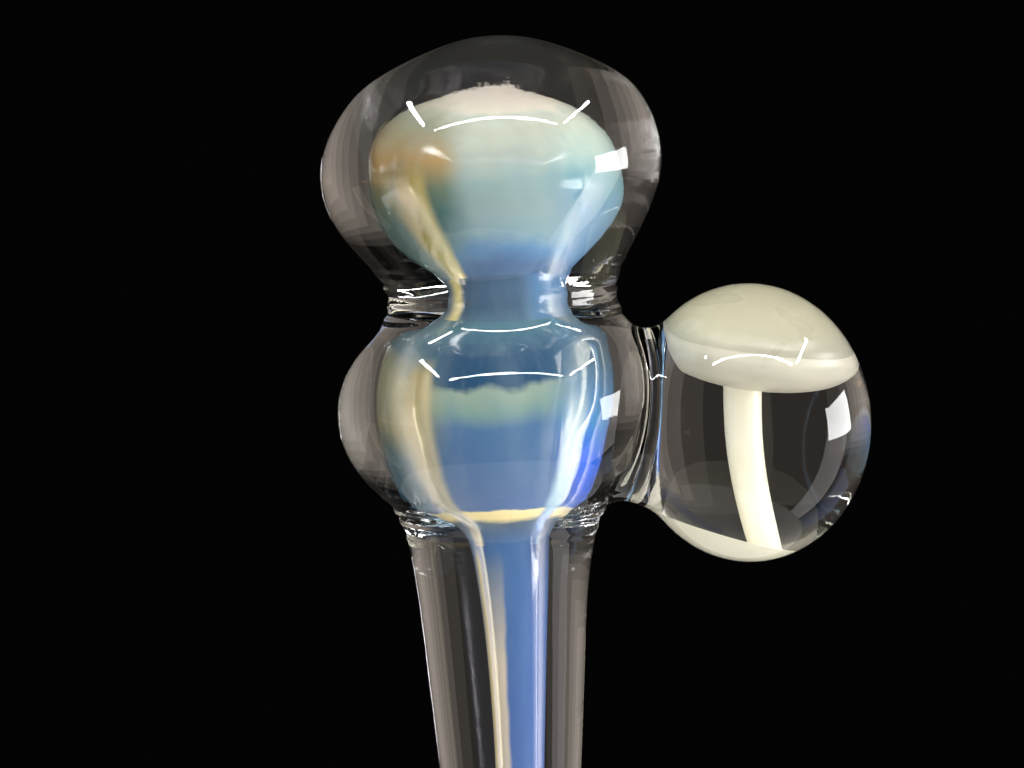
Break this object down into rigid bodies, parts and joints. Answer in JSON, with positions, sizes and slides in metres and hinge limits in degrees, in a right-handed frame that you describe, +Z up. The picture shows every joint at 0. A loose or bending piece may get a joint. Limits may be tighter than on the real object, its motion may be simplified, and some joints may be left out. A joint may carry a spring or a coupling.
{
  "type": "lampworked glass wand",
  "caption": "Solid-walled clear glass wand with two bulbs over a tapering stem, a fumed hollow core inside and a clear marble holding a glass mushroom on its side.",
  "frame": {"origin": "centre of the stem's open end, on the stem's axis", "axes": "+Z up the stem to the crown of the upper bulb, +X from the lower bulb to the marble, -Y towards the viewer"},
  "size_m": [0.0647, 0.0406, 0.1172],
  "materials": {
    "clear_glass": "clear, polished",
    "fumed_upper": "silver and gold fume, teal over blue with a cream crown",
    "fumed_neck": "silver fume, slate blue",
    "fumed_lower": "silver and gold fume, teal over deep blue",
    "fumed_stem": "silver and gold fume, blue",
    "cream_glass": "opaque cream, glossy",
    "white_glass": "opaque off-white, glossy"
  },
  "bodies": {
    "root": {"upper_bulb": "clear_glass", "neck_ring": "clear_glass", "lower_bulb": "clear_glass", "shoulder_ring": "clear_glass", "stem": "clear_glass", "stem_lip": "clear_glass", "marble_foot": "clear_glass", "marble": "clear_glass", "upper_core": "fumed_upper", "neck_core": "fumed_neck", "lower_core": "fumed_lower", "stem_core": "fumed_stem", "mushroom_cap": "cream_glass", "cap_underside": "white_glass", "mushroom_stalk": "cream_glass", "mushroom_base": "cream_glass"}
  },
  "joints": []
}
